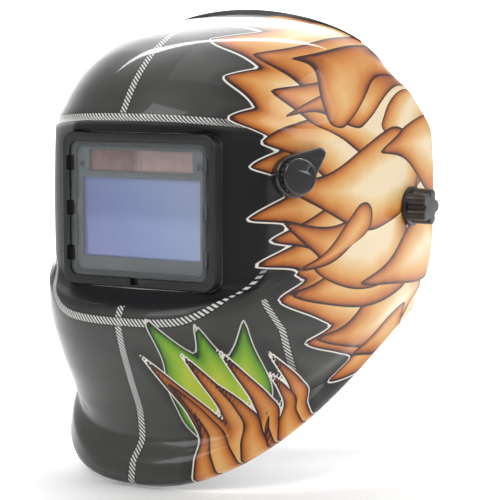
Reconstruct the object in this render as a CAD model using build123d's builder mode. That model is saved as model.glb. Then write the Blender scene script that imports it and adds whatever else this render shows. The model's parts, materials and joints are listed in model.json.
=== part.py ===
from build123d import *
import os
from math import cos, radians, sin

# Welding helmet. Millimetres, +Z up, the face looks along -Y, the wearer's left is +X.
# The origin is the middle of the tilt axis, which runs along X past the wearer's temples.

# ---------------------------------------------------------------- driving sizes
# Shell
half_width = 125.0        # half width at the tilt pivot
shell_drop = 193.0        # window centre down to the bottom edge
shell_rise = 138.0        # window centre up to the rear top edge
front_reach = 171.0       # tilt axis forward to the flat round the window
wall = 2.2                # moulded wall
window_z = 3.0            # window centre above the tilt axis
rear_lip = 5.0            # height of the raised lip along the rear top edge

# Window and filter cartridge
cartridge_w, cartridge_h = 110.0, 90.0
cartridge_d = 9.6
lens_over_w, lens_over_h = 4.0, 5.0   # cover lens beyond the cartridge
lens_t = 1.5
frame_border = 7.0        # bezel beyond the cover lens, each side
view_w, view_h = 99.0, 56.0
view_drop = 6.0           # viewing area's centre below the window centre
solar_w, solar_h = 87.0, 15.0
solar_rise = 34.0         # solar strip's centre above the window centre
recess_margin = 3.0       # flat left on the shell above and below the bezel

# Pivots
bolt_r = 4.0
slide_travel = 10.0       # fore and aft adjustment, each way
tilt_up = 80.0            # lift of the shell, degrees
stop_pin_r = 2.5
stop_radius = 24.0        # stop pin's distance from the tilt axis
arm_gap = 21.0            # pivot arm's inner face inside the shell's widest point
knob_r = 13.5
knob_h = 17.0

# Headgear
band_a, band_b = 79.0, 97.0     # outer half width and half length of the headband
band_h, band_t = 30.0, 2.0
band_z = 20.0                   # band centre above the tilt axis
band_tilt = 14.0                # front higher than the nape, degrees
strap_h, strap_t = 16.0, 1.6
crown_top = 112.0               # crown strap above the tilt axis
crown_w = 18.0
pad_t = 7.0
dial_r = 17.0                   # ratchet dial

# Clearances
fit = 0.05                # running fit, radial
gap = 0.3                 # between pieces that only lie side by side
slip = 0.4                # cartridge in its frame

# ---------------------------------------------------------------- shell form
lens_w = cartridge_w + lens_over_w
lens_h = cartridge_h + lens_over_h
arm_x = half_width - arm_gap
frame_w = lens_w + 2 * frame_border
frame_h = lens_h + 2 * (frame_border - 0.5)
recess_half = frame_h / 2 + recess_margin


def low(share):
    """Height of a section below the window recess, as a share of the way down."""
    return window_z - recess_half - share * (shell_drop - recess_half)


def high(share):
    """Height of a section above the window recess, as a share of the way up."""
    return window_z + recess_half + share * (shell_rise - recess_half)


# Each section: height and reach on the centre line, height and reach at the side rim,
# half width, squareness in plan, and how late the section rises towards the side.
SECTIONS = [
    (low(1.00), -front_reach - 5, -83, 18, half_width - 10, 2.45, 1.15),
    (low(0.97), -front_reach - 11, -80, 21, half_width - 8, 2.46, 1.15),
    (low(0.88), -front_reach - 9, -73, 25, half_width - 8, 2.45, 1.15),
    (low(0.76), -front_reach + 3, -62, 30, half_width - 6, 2.44, 1.15),
    (low(0.64), -front_reach + 1, -53, 34, half_width - 3, 2.62, 1.15),
    (low(0.44), -front_reach - 11, -36, 37, half_width - 1, 2.72, 1.15),
    (low(0.25), -front_reach - 22, -19, 38, half_width, 2.75, 1.20),
    (low(0.14), -front_reach - 26, -7, 38, half_width, 2.75, 1.35),
    (low(0.07), -front_reach - 23, 0, 38, half_width, 2.80, 1.40),
    (low(0.015), -front_reach - 9, 5, 38, half_width, 3.10, 1.35),
    (window_z - recess_half + 7, -front_reach - 1, 13, 38, half_width, 3.30, 1.25),
    (window_z, -front_reach, 25, 38, half_width, 3.40, 1.10),
    (window_z + recess_half - 7, -front_reach - 1, 43, 38, half_width - 1, 3.30, 1.00),
    (high(0.01), -front_reach - 9, 50, 37, half_width - 1, 2.95, 1.00),
    (high(0.10), -front_reach - 19, 56, 36, half_width - 2, 2.55, 1.00),
    (high(0.28), -front_reach - 11, 63, 33, half_width - 4, 2.45, 1.00),
    (high(0.53), -front_reach + 7, 72, 29, half_width - 8, 2.42, 1.00),
    (high(0.78), -front_reach + 38, 83, 22, half_width - 12, 2.34, 1.00),
    (high(0.93), -front_reach + 83, 91, 13, half_width - 16, 2.27, 1.00),
    (high(1.00), -front_reach + 137, 97, 4, half_width - 21, 2.20, 1.00),
]
top_row = len(SECTIONS) - 1


def slopes(values):
    """Slopes that join the values smoothly and never overshoot them."""
    steps = [b - a for a, b in zip(values, values[1:])]
    inner = [
        0.0 if a * b <= 0 else 2 * a * b / (a + b)
        for a, b in zip(steps, steps[1:])
    ]
    return [steps[0], *inner, steps[-1]]


bend_span = 0.5           # rows each way that the normal averages, so tight bends stay clean inside
COLUMNS = list(zip(*SECTIONS))
SLOPES = [slopes(column) for column in COLUMNS]


def section(u):
    """The section's seven values at row u, which may fall between two rows."""
    i = min(max(int(u), 0), top_row - 1)
    t = u - i
    h0, h1 = 2 * t**3 - 3 * t**2 + 1, t**3 - 2 * t**2 + t
    h2, h3 = -2 * t**3 + 3 * t**2, t**3 - t**2
    return [
        h0 * c[i] + h1 * m[i] + h2 * c[i + 1] + h3 * m[i + 1]
        for c, m in zip(COLUMNS, SLOPES)
    ]


def surface(u, a):
    """Point on the outer skin at row u and plan angle a, 0 in front and +90 at the left side."""
    zc, yc, zs, ys, w, n, k = section(u)
    reach = ys - yc
    s, c = abs(sin(radians(a))), abs(cos(radians(a)))
    rho = ((s / w) ** n + (c / reach) ** n) ** (-1 / n)
    q = rho * c / reach
    return Vector(rho * sin(radians(a)), ys - reach * q, zs + (zc - zs) * q**k)


def skin(u, a, depth=0.0):
    """Point at a depth inside the outer skin, and the outward normal there."""
    across = surface(u, min(a + 0.5, 90)) - surface(u, max(a - 0.5, -90))
    up = surface(min(u + bend_span, top_row), a) - surface(max(u - bend_span, 0), a)
    normal = across.cross(up).normalized()
    return surface(u, a) - normal * depth, normal


def wall_between(outer, inner):
    """Solid between two grids of points, closed along its four borders."""
    skins = [Face.make_surface_from_array_of_points(grid, tol=0.05) for grid in (outer, inner)]
    borders = [
        Face.make_surface_from_curves(a, b)
        for a, b in zip(skins[0].edges(), skins[1].edges())
    ]
    return Solid(Shell(Face.sew_faces([*skins, *borders])[0]))


def skin_grid(rows, angles, depth):
    return [[skin(u, a, depth)[0] for a in angles] for u in rows]


def spread(start, end, steps):
    return [start + (end - start) * i / steps for i in range(steps + 1)]


def row_at(z, a):
    """Row whose skin passes through height z at plan angle a."""
    lower, upper = 0.0, float(top_row)
    for _ in range(40):
        middle = (lower + upper) / 2
        lower, upper = (middle, upper) if surface(middle, a).Z < z else (lower, middle)
    return lower


def wall_x(y, z):
    """Distance from the middle to the left side's outer skin at a place on it."""
    front, back = 30.0, 89.9
    for _ in range(30):
        a = (front + back) / 2
        front, back = (a, back) if surface(row_at(z, a), a).Y < y else (front, a)
    return surface(row_at(z, a), a).X


pieces = {}


def keep(name, part):
    part.label = name
    pieces[name] = part


def keep_pair(name, left):
    """Keep a left-hand piece and its mirror image."""
    keep(f"{name}_left", left)
    keep(f"{name}_right", mirror(left, about=Plane.YZ))


# ---------------------------------------------------------------- window stack, front to back
# Distances ahead of the tilt axis.
frame_front = front_reach + 3
lens_front = frame_front - 1.2
lens_back = lens_front - lens_t
gasket_t = 0.8
gasket_back = lens_back - 0.05 - gasket_t
lip_front = gasket_back - 0.05
lip_back = lip_front - 1.4
case_front = lip_back - 0.2
case_back = case_front - cartridge_d
case_split = case_front - 4.4
frame_back = front_reach - 14
flange_t = 2.0
flange_back = frame_back - flange_t
holder_front = flange_back - 0.2
holder_t = 2.5
holder_back = holder_front - holder_t
case_wall = 1.6
view_z = window_z - view_drop
solar_z = window_z + solar_rise
controls_z = solar_z


def facing(distance):
    """Plane facing forward at a distance ahead of the tilt axis; its X is X, its Y is Z."""
    return Plane.XZ.offset(distance)


# Cheek control: the point on the left cheek and the plane that lies on it.
cheek_a = 30.5
cheek_row = row_at(28.0, cheek_a)
cheek_point, cheek_normal = skin(cheek_row, cheek_a)
cheek_rear = Vector(0, 0, 1).cross(cheek_normal).normalized()
cheek_up = cheek_normal.cross(cheek_rear)
cheek_slant = 37.0        # the teardrop points up and to the rear
cheek_x = cheek_rear * cos(radians(cheek_slant)) + cheek_up * sin(radians(cheek_slant))
cheek = Plane(origin=cheek_point, x_dir=cheek_x, z_dir=cheek_normal)
bush_r = 3.4              # potentiometer's threaded bush

# ---------------------------------------------------------------- helmet shell
rows = spread(0, top_row, 4 * top_row)
angles = spread(-90, 90, 60)
with BuildPart() as helmet_shell:
    add(wall_between(skin_grid(rows, angles, 0), skin_grid(rows, angles, wall)))
    with BuildSketch(facing(front_reach - 40)):
        with Locations((0, window_z)):
            RectangleRounded(frame_w + 2 * gap, frame_h + 2 * gap, 9)
    extrude(amount=80, mode=Mode.SUBTRACT)
    with BuildSketch(Plane.YZ):
        Circle(bolt_r + fit)
    extrude(amount=half_width + 10, mode=Mode.SUBTRACT)
    with BuildSketch(Plane.YZ):
        Circle(bolt_r + gap)
    extrude(amount=-half_width - 10, mode=Mode.SUBTRACT)
    with Locations(cheek):
        Cylinder(bush_r + fit, 6 * wall, mode=Mode.SUBTRACT)
keep("helmet_shell", helmet_shell.part)

# Raised lip along the rear top edge, highest in the middle.
lip_reach = 78.0          # plan angle where the lip runs out, each side
lip_angles = spread(-lip_reach, lip_reach, 52)


def lip_point(a, share, depth):
    """Point on the lip: share 0 at its foot and 1 at its crest."""
    height = 1.0 + (rear_lip - 1.0) * max(cos(radians(a * 90 / (lip_reach + 4))), 0) ** 0.8
    edge, normal = skin(top_row, a, depth)
    edge_in = skin(top_row - 0.3, a, depth)[0]
    along = (edge - edge_in).normalized()
    rise = (normal * 0.75 + along * 0.65).normalized()
    return edge + along * 0.15 + rise * height * share


with BuildPart() as rear_edge_lip:
    add(wall_between(
        [[lip_point(a, share, 0.1) for a in lip_angles] for share in (0, 0.5, 1)],
        [[lip_point(a, share, wall - 0.1) for a in lip_angles] for share in (0, 0.5, 1)],
    ))
keep("rear_edge_lip", rear_edge_lip.part)

# ---------------------------------------------------------------- window frame and cover lens
notch_heights = [-32.0, 0.0, 32.0]
notch_h, notch_deep = 11.0, 3.0
with BuildPart() as window_frame:
    with BuildSketch(facing(frame_back)):
        with Locations((0, window_z)):
            RectangleRounded(frame_w, frame_h, 9)
    extrude(amount=frame_front - frame_back)
    fillet(window_frame.faces().sort_by(Axis.Y)[0].edges(), 1.2)
    with BuildSketch(facing(flange_back)):
        with Locations((0, window_z)):
            RectangleRounded(frame_w + 10, frame_h + 10, 12)
    extrude(amount=flange_t)
    with BuildSketch(facing(flange_back - 1)):
        with Locations((0, window_z)):
            RectangleRounded(cartridge_w + 2 * slip, cartridge_h + 2 * slip, 4)
    extrude(amount=lip_back - flange_back + 1, mode=Mode.SUBTRACT)
    with BuildSketch(facing(lip_back - 1)):
        with Locations((0, window_z)):
            RectangleRounded(cartridge_w - 3, cartridge_h - 3, 4)
    extrude(amount=10, mode=Mode.SUBTRACT)
    with BuildSketch(facing(lip_front)):
        with Locations((0, window_z)):
            RectangleRounded(lens_w + 2 * gap, lens_h + 2 * gap, 6 + gap)
    extrude(amount=10, mode=Mode.SUBTRACT)
    with BuildSketch(facing(frame_front - 5)):
        for z in notch_heights:
            with Locations((0, window_z + z)):
                RectangleRounded(lens_w + 2 * notch_deep, notch_h, 1.5)
        with Locations((-2, window_z - lens_h / 2 - 2)):
            RectangleRounded(7, 6, 1.5)
    extrude(amount=10, mode=Mode.SUBTRACT)
    screw_x, screw_z = frame_w / 2 - 4, frame_h / 2 - 4
    with BuildSketch(facing(flange_back - 1)):
        with Locations((0, window_z)):
            with GridLocations(2 * screw_x, 2 * screw_z, 2, 2):
                Circle(1.5)
    extrude(amount=10, mode=Mode.SUBTRACT)
keep("window_frame", window_frame.part)

with BuildPart() as cover_lens:
    with BuildSketch(facing(lens_back)):
        with Locations((0, window_z)):
            RectangleRounded(lens_w, lens_h, 6)
            for side in (-1, 1):
                with Locations(*[(side * lens_w / 2, z) for z in notch_heights]):
                    RectangleRounded(2 * notch_deep, notch_h, 1.5, mode=Mode.SUBTRACT)
    extrude(amount=lens_t)
keep("cover_lens", cover_lens.part)

with BuildPart() as lens_gasket:
    with BuildSketch(facing(gasket_back)):
        with Locations((0, window_z)):
            RectangleRounded(lens_w - 2 * notch_deep - 1, lens_h - 1, 5)
            RectangleRounded(cartridge_w - 4, cartridge_h - 3, 4, mode=Mode.SUBTRACT)
    extrude(amount=gasket_t)
keep("lens_gasket", lens_gasket.part)

# ---------------------------------------------------------------- filter cartridge
sensor_x, sensor_r = view_w / 2, 2.4
case_in_w, case_in_h = cartridge_w - 2 * case_wall, cartridge_h - 2 * case_wall
with BuildPart() as cartridge_case_front:
    with BuildSketch(facing(case_split)):
        with Locations((0, window_z)):
            RectangleRounded(cartridge_w, cartridge_h, 5)
    extrude(amount=case_front - case_split)
    fillet(cartridge_case_front.faces().sort_by(Axis.Y)[0].edges(), 0.8)
    with BuildSketch(facing(case_split)):
        with Locations((0, window_z)):
            RectangleRounded(case_in_w, case_in_h, 3.4)
    extrude(amount=case_front - case_split - case_wall, mode=Mode.SUBTRACT)
    with BuildSketch(facing(case_split)):
        with Locations((0, view_z)):
            RectangleRounded(view_w, view_h, 1)
        with Locations((0, solar_z)):
            RectangleRounded(solar_w, solar_h, 1)
        with Locations((sensor_x, solar_z - 3), (-sensor_x, solar_z - 3)):
            Circle(sensor_r + 0.1)
    extrude(amount=10, mode=Mode.SUBTRACT)
keep("cartridge_case_front", cartridge_case_front.part)

glass_front = case_front - case_wall - 0.1
glass_t = 4.8
with BuildPart() as filter_glass:
    with BuildSketch(facing(glass_front - glass_t)):
        with Locations((0, view_z)):
            Rectangle(view_w + 4, view_h + 4)
    extrude(amount=glass_t)
keep("filter_glass", filter_glass.part)

solar_t = 1.2
with BuildPart() as solar_cells:
    with BuildSketch(facing(glass_front - solar_t)):
        with Locations((0, solar_z)):
            with GridLocations(solar_w / 2 + 0.2, 0, 2, 1):
                Rectangle(solar_w / 2, solar_h + 2)
    extrude(amount=solar_t)
keep("solar_cells", solar_cells.part)

board_front = glass_front - solar_t - 0.1
board_t = 1.2
with BuildPart() as circuit_board:
    with BuildSketch(facing(board_front - board_t)):
        with Locations((0, solar_z)):
            RectangleRounded(case_in_w - 1, solar_h + 2, 2.5)
    extrude(amount=board_t)
keep("circuit_board", circuit_board.part)

with BuildPart() as arc_sensors:
    with BuildSketch(facing(board_front + 0.1)):
        with Locations((sensor_x, solar_z - 3), (-sensor_x, solar_z - 3)):
            Circle(sensor_r)
    extrude(amount=case_front - 0.8 - board_front)
keep("arc_sensors", arc_sensors.part)

battery_r, battery_t = 8.0, 3.2
battery_x, button_x, delay_x, sensitivity_x, lead_x = 10.0, -7.0, -22.0, -38.0, 34.0
control_r = 5.2
button_r = 2.9
shaft_r = 2.0
with BuildPart() as battery:
    with BuildSketch(facing(board_front - board_t - 0.2 - battery_t)):
        with Locations((battery_x, controls_z)):
            Circle(battery_r)
    extrude(amount=battery_t)
keep("battery", battery.part)

cover_r = battery_r + 0.9
lead_r = 1.5
boss_h = 2.8
with BuildPart() as cartridge_case_rear:
    with BuildSketch(facing(case_back)):
        with Locations((0, window_z)):
            RectangleRounded(cartridge_w, cartridge_h, 5)
    extrude(amount=case_split - 0.1 - case_back)
    with BuildSketch(facing(case_back - boss_h)):
        with Locations((lead_x, controls_z)):
            Circle(lead_r + 1.8)
    extrude(amount=boss_h)
    with BuildSketch(facing(case_back + case_wall)):
        with Locations((0, window_z)):
            RectangleRounded(case_in_w, case_in_h, 3.4)
    extrude(amount=10, mode=Mode.SUBTRACT)
    with BuildSketch(facing(case_back - 10)):
        with Locations((0, view_z)):
            RectangleRounded(view_w, view_h, 1)
        with Locations((battery_x, controls_z)):
            Circle(cover_r + fit)
        with Locations((button_x, controls_z)):
            Circle(button_r + 0.1)
        with Locations((delay_x, controls_z), (sensitivity_x, controls_z)):
            Circle(shaft_r + fit)
        with Locations((lead_x, controls_z)):
            Circle(lead_r + 0.1)
    extrude(amount=20, mode=Mode.SUBTRACT)
keep("cartridge_case_rear", cartridge_case_rear.part)

with BuildPart() as battery_cover:
    with BuildSketch(facing(case_back - 0.8)):
        with Locations((battery_x, controls_z)):
            Circle(cover_r)
    extrude(amount=case_wall + 0.7)
    with BuildSketch(facing(case_back - 0.8)):
        with Locations((battery_x, controls_z)):
            Rectangle(10, 2)
    extrude(amount=1, mode=Mode.SUBTRACT)
keep("battery_cover", battery_cover.part)

for name, x in (("delay_dial", delay_x), ("sensitivity_dial", sensitivity_x)):
    with BuildPart() as dial:
        with BuildSketch(facing(case_back - 2.3)):
            with Locations((x, controls_z)):
                Circle(control_r)
                with PolarLocations(control_r + 0.2, 12):
                    Circle(0.6, mode=Mode.SUBTRACT)
        extrude(amount=2)
        with BuildSketch(facing(case_back - 2.3)):
            with Locations((x, controls_z)):
                Circle(shaft_r)
        extrude(amount=2.3 + case_wall + 1)
        with BuildSketch(facing(case_back - 2.3)):
            with Locations((x, controls_z + control_r / 2)):
                Rectangle(0.9, control_r)
        extrude(amount=0.6, mode=Mode.SUBTRACT)
    keep(name, dial.part)

with BuildPart() as test_button:
    with BuildSketch(facing(case_back - 1.8)):
        with Locations((button_x, controls_z)):
            Circle(button_r)
    extrude(amount=1.8 + case_wall + 1)
    fillet(test_button.faces().sort_by(Axis.Y)[-1].edges(), 0.6)
keep("test_button", test_button.part)

plate_t = 1.0
with BuildPart() as inner_cover_plate:
    with BuildSketch(facing(case_back - 0.3 - plate_t)):
        with Locations((0, view_z)):
            RectangleRounded(view_w + 4, view_h + 4, 3)
    extrude(amount=plate_t)
keep("inner_cover_plate", inner_cover_plate.part)

# ---------------------------------------------------------------- cartridge holder and latch
opening_w, opening_low, opening_high = 96.0, window_z - 35, solar_z + 6.5
opening_h = opening_high - opening_low
opening_z = (opening_high + opening_low) / 2
holder_lip = case_back - 0.3 - plate_t - 0.2
latch_pin_r = 1.2
latch_barrel_r = 2.6
latch_w = 20.0
latch_h = 22.0
latch_z = opening_low - 12
latch_axis = holder_back - 0.3 - latch_barrel_r      # latch pin ahead of the tilt axis
ear_t = 4.0
ear_at = latch_w / 2 + gap + ear_t / 2
with BuildPart() as cartridge_holder:
    with BuildSketch(facing(holder_back)):
        with Locations((0, window_z)):
            RectangleRounded(frame_w + 4, frame_h + 4, 10)
    extrude(amount=holder_t)
    with BuildSketch(facing(holder_back)):
        with Locations((0, window_z)):
            RectangleRounded(cartridge_w - 0.6, cartridge_h - 0.6, 4)
    extrude(amount=holder_lip - holder_back)
    with BuildSketch(facing(holder_back - 10)):
        with Locations((0, opening_z)):
            RectangleRounded(opening_w, opening_h, 4)
        with Locations((0, window_z)):
            with GridLocations(2 * screw_x, 2 * screw_z, 2, 2):
                Circle(1.5)
    extrude(amount=30, mode=Mode.SUBTRACT)
    with BuildSketch(facing(latch_axis)):
        with Locations((ear_at, latch_z), (-ear_at, latch_z)):
            Rectangle(ear_t, 2 * latch_barrel_r)
    extrude(amount=holder_back - latch_axis)
    for side in (-1, 1):
        with BuildSketch(Plane.YZ.offset(side * ear_at - ear_t / 2)):
            with Locations((-latch_axis, latch_z)):
                Circle(latch_barrel_r)
        extrude(amount=ear_t)
    with BuildSketch(Plane.YZ.offset(-latch_w)):
        with Locations((-latch_axis, latch_z)):
            Circle(latch_pin_r + 0.02)
    extrude(amount=2 * latch_w, mode=Mode.SUBTRACT)
keep("cartridge_holder", cartridge_holder.part)

with BuildPart() as retaining_latch:
    with BuildSketch(Plane.YZ.offset(-latch_w / 2)):
        with Locations((-latch_axis, latch_z)):
            Circle(latch_barrel_r)
    extrude(amount=latch_w)
    with BuildSketch(facing(holder_back - 0.3 - 2.2)):
        with Locations((0, latch_z + latch_h / 2)):
            RectangleRounded(latch_w, latch_h, 2)
    extrude(amount=2.2)
    with BuildSketch(facing(holder_back - 0.3 - 4.2)):
        with Locations((0, latch_z + latch_h - 2.5)):
            RectangleRounded(latch_w, 3, 0.8)
    extrude(amount=3)
    with BuildSketch(Plane.YZ.offset(-latch_w)):
        with Locations((-latch_axis, latch_z)):
            Circle(latch_pin_r + fit)
    extrude(amount=2 * latch_w, mode=Mode.SUBTRACT)
keep("retaining_latch", retaining_latch.part)

with BuildPart() as latch_pin:
    with BuildSketch(Plane.YZ.offset(-ear_at - ear_t / 2)):
        with Locations((-latch_axis, latch_z)):
            Circle(latch_pin_r)
    extrude(amount=2 * ear_at + ear_t)
keep("latch_pin", latch_pin.part)

with BuildPart() as holder_screws:
    with BuildSketch(facing(holder_back - 1.8)):
        with Locations((0, window_z)):
            with GridLocations(2 * screw_x, 2 * screw_z, 2, 2):
                Circle(2.8)
    extrude(amount=1.7)
    with BuildSketch(facing(holder_back - 1.8)):
        with Locations((0, window_z)):
            with GridLocations(2 * screw_x, 2 * screw_z, 2, 2):
                Circle(1.45)
    extrude(amount=10)
    with BuildSketch(facing(holder_back - 1.8)):
        with Locations((0, window_z)):
            with GridLocations(2 * screw_x, 2 * screw_z, 2, 2):
                Rectangle(3.6, 0.8)
                Rectangle(0.8, 3.6)
    extrude(amount=1, mode=Mode.SUBTRACT)
keep("holder_screws", holder_screws.part)

# ---------------------------------------------------------------- cheek control
base_r, base_tip_r, base_tip = 15.5, 5.0, 25.0
base_h = 6.5
shade_knob_r, shade_knob_h = 13.0, 7.0
pot_r, pot_d = 8.5, 9.0
nut_r, nut_h = 6.0, 2.4
cheek_rows = spread(row_at(-10, cheek_a), row_at(75, cheek_a), 24)
cheek_angles = spread(cheek_a - 24, cheek_a + 34, 24)
cheek_fill = wall_between(
    skin_grid(cheek_rows, cheek_angles, -0.25),
    skin_grid(cheek_rows, cheek_angles, 14),
)
with BuildPart() as shade_housing:
    with BuildSketch(cheek.offset(-8)):
        Circle(base_r)
        with Locations((base_tip, 0)):
            Circle(base_tip_r)
        make_hull()
    extrude(amount=8 + base_h, taper=3)
    fillet(shade_housing.faces().sort_by(Axis(cheek.origin, cheek.z_dir))[-1].edges(), 1.6)
    add(cheek_fill, mode=Mode.SUBTRACT)
    with BuildSketch(cheek.offset(-1)):
        Circle(nut_r + 1.2)
    extrude(amount=nut_h + 2, mode=Mode.SUBTRACT)
    with BuildSketch(cheek):
        Circle(bush_r + fit)
    extrude(amount=base_h + 4, mode=Mode.SUBTRACT)
keep("shade_housing", shade_housing.part)

with BuildPart() as shade_knob:
    with BuildSketch(cheek.offset(base_h + gap)):
        Circle(shade_knob_r)
    extrude(amount=shade_knob_h, taper=4)
    crown = shade_knob.faces().sort_by(Axis(cheek.origin, cheek.z_dir))[-1]
    fillet(crown.edges(), 1.4)
    with BuildSketch(cheek.offset(base_h + gap)):
        with PolarLocations(shade_knob_r + 0.5, 20):
            Circle(1.1)
    extrude(amount=shade_knob_h - 2.2, mode=Mode.SUBTRACT)
    with BuildSketch(cheek.offset(base_h + gap + shade_knob_h - 0.8)):
        with Locations((shade_knob_r - 4.5, 0)):
            SlotOverall(5, 1.4)
    extrude(amount=2, mode=Mode.SUBTRACT)
    with BuildSketch(cheek.offset(base_h + gap)):
        Circle(shaft_r + 0.5 + fit)
    extrude(amount=4.5, mode=Mode.SUBTRACT)
keep("shade_knob", shade_knob.part)

# Its spindle turns in the bush and carries the knob.
with BuildPart() as knob_spindle:
    with BuildSketch(cheek.offset(-wall - 2)):
        Circle(shaft_r)
    extrude(amount=wall + 2 + base_h + gap)
    with BuildSketch(cheek.offset(base_h + gap - 0.1)):
        Circle(shaft_r + 0.5)
    extrude(amount=4.4)
keep("knob_spindle", knob_spindle.part)

pot_face = wall + 0.9      # the case sits under the curved wall
with BuildPart() as potentiometer:
    with BuildSketch(cheek.offset(-pot_face - pot_d)):
        Circle(pot_r)
    extrude(amount=pot_d)
    with BuildSketch(cheek.offset(-pot_face)):
        Circle(bush_r)
    extrude(amount=pot_face + nut_h + 0.6)
    with BuildSketch(cheek.offset(-wall - 2.2)):
        Circle(shaft_r + fit)
    extrude(amount=20, mode=Mode.SUBTRACT)
keep("potentiometer", potentiometer.part)

with BuildPart() as potentiometer_nut:
    with BuildSketch(cheek.offset(0.15)):
        RegularPolygon(nut_r, 6)
        Circle(bush_r + fit, mode=Mode.SUBTRACT)
    extrude(amount=nut_h)
keep("potentiometer_nut", potentiometer_nut.part)

# Lead from the potentiometer round to the cartridge, clipped to the holder.
pot_middle = cheek_point - cheek_normal * (pot_face + pot_d / 2)
lead_start = pot_middle - cheek_rear * (pot_r + 0.1)
lead_turn = lead_start - cheek_rear * 9
lead_high = -holder_back + 12.0       # how far back of the holder the lead runs
lead_points = [
    Vector(lead_x, -case_back - 1.0, controls_z),
    Vector(lead_x, lead_high, controls_z),
    Vector(lead_x + 28, lead_high, (controls_z + lead_turn.Z * 0.5) / 1.5),
    lead_turn,
    lead_start,
]
with BuildPart() as control_cable:
    with BuildLine() as lead_line:
        FilletPolyline(*lead_points, radius=[8.5, 16, 11])
    with BuildSketch(Plane(origin=lead_points[0], z_dir=(0, 1, 0))):
        Circle(lead_r)
    sweep()
keep("control_cable", control_cable.part)

clip_at = (lead_points[1] + lead_points[2]) * 0.5
clip_run = (lead_points[2] - lead_points[1]).normalized()
clip_plane = Plane(origin=clip_at, x_dir=(0, 1, 0), z_dir=clip_run)
with BuildPart() as cable_clip:
    with BuildSketch(clip_plane.offset(-3)):
        Circle(lead_r + 1.4)
        with Locations((-6.2, 0)):
            Rectangle(11.4, 2.4)
    extrude(amount=6)
    with Locations(clip_plane):
        Cylinder(lead_r + 0.1, 20, mode=Mode.SUBTRACT)
    with BuildSketch(facing(holder_back - 0.1)):
        with Locations((0, window_z)):
            Rectangle(300, 300)
    extrude(amount=20, mode=Mode.SUBTRACT)
keep("cable_clip", cable_clip.part)

# ---------------------------------------------------------------- pivots, left side then mirrored
arm_t = 3.0
slot_h = 12.0
key_len = 18.0
carriage_t = 5.0
limit_t = 2.0
stop_from = 140.0         # stop pin's place with the shell lifted, degrees round the axis
stop_rest = stop_from + tilt_up
head_t = 3.0


def beside(distance):
    """Plane facing the wearer's left at a distance from the middle; its X is Y, its Y is Z."""
    return Plane.YZ.offset(distance)


slot_len = key_len + 2 * slide_travel + 2 * gap
plate_len = slot_len + 16
band_plane = Plane(
    origin=(0, 0, band_z),
    x_dir=(1, 0, 0),
    z_dir=(0, sin(radians(band_tilt)), cos(radians(band_tilt))),
)
foot_x = band_a + 0.4 + arm_t / 2
foot_half = 13.0
rivet_y, rivet_z = 5.0, band_z
rivet_r = 1.8
with BuildPart() as side_arm:
    with BuildSketch(beside(arm_x)):
        RectangleRounded(plate_len, slot_h + 16, 11)
    extrude(amount=arm_t)
    with BuildSketch(Plane.XZ.offset(-foot_half)):
        with BuildLine():
            FilletPolyline(
                (arm_x + arm_t / 2, slot_h / 2 + 3),
                (arm_x + arm_t / 2, band_z + 12),
                (foot_x, band_z + 12),
                (foot_x, band_z - 12),
                radius=7,
            )
        trace(line_width=arm_t)
    extrude(amount=2 * foot_half)
    with BuildSketch(beside(arm_x - 1)):
        Rectangle(slot_len, slot_h)
    extrude(amount=arm_t + 2, mode=Mode.SUBTRACT)
    with BuildSketch(beside(foot_x - 5)):
        with Locations((rivet_y, rivet_z), (-rivet_y, rivet_z)):
            Circle(rivet_r + fit)
    extrude(amount=10, mode=Mode.SUBTRACT)
keep_pair("side_arm", side_arm.part)

carriage_x = arm_x + arm_t + gap
with BuildPart() as carriage:
    with BuildSketch(beside(carriage_x)):
        RectangleRounded(key_len + 8, slot_h + 10, 4)
    extrude(amount=carriage_t)
    with BuildSketch(beside(arm_x - gap)):
        Rectangle(key_len, slot_h - 2 * gap)
    extrude(amount=arm_t + 3 * gap)
    with BuildSketch(beside(arm_x - 1)):
        Circle(bolt_r + fit)
    extrude(amount=20, mode=Mode.SUBTRACT)
keep_pair("carriage", carriage.part)

limit_x = carriage_x + carriage_t + 0.1
stop_arc = CenterArc((0, 0), stop_radius, stop_from, tilt_up)
with BuildPart() as limit_plate:
    with BuildSketch(beside(limit_x)):
        Circle(stop_radius + stop_pin_r + 4)
        SlotArc(stop_arc, 2 * (stop_pin_r + gap), mode=Mode.SUBTRACT)
        Circle(bolt_r + fit, mode=Mode.SUBTRACT)
    extrude(amount=limit_t)
keep_pair("tilt_limit_plate", limit_plate.part)

washer_x = limit_x + limit_t + 0.1
washer_r = knob_r - 0.5
washer_end = wall_x(-washer_r, -washer_r) - wall - gap
with BuildPart() as washer:
    with BuildSketch(beside(washer_x)):
        Circle(washer_r)
        Circle(bolt_r + fit, mode=Mode.SUBTRACT)
    extrude(amount=washer_end - washer_x)
keep_pair("friction_washer", washer.part)

pin_y, pin_z = stop_radius * cos(radians(stop_rest)), stop_radius * sin(radians(stop_rest))
with BuildPart() as stop_pin:
    with BuildSketch(beside(limit_x - 0.5)):
        with Locations((pin_y, pin_z)):
            Circle(stop_pin_r)
    extrude(amount=wall_x(pin_y - stop_pin_r, pin_z - stop_pin_r) - wall - 0.1 - limit_x + 0.5)
keep_pair("stop_pin", stop_pin.part)

knob_x = half_width + gap
insert_r, insert_len = 6.5, 12.0
bolt_end = knob_x + knob_h - 2.5
with BuildPart() as pivot_bolt:
    with BuildSketch(beside(arm_x - 0.4 - head_t)):
        Circle(2 * bolt_r)
    extrude(amount=head_t)
    fillet(pivot_bolt.faces().sort_by(Axis.X)[0].edges(), 1)
    with BuildSketch(beside(arm_x - 0.4)):
        Circle(bolt_r)
    extrude(amount=bolt_end - arm_x + 0.4)
keep_pair("pivot_bolt", pivot_bolt.part)

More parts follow.
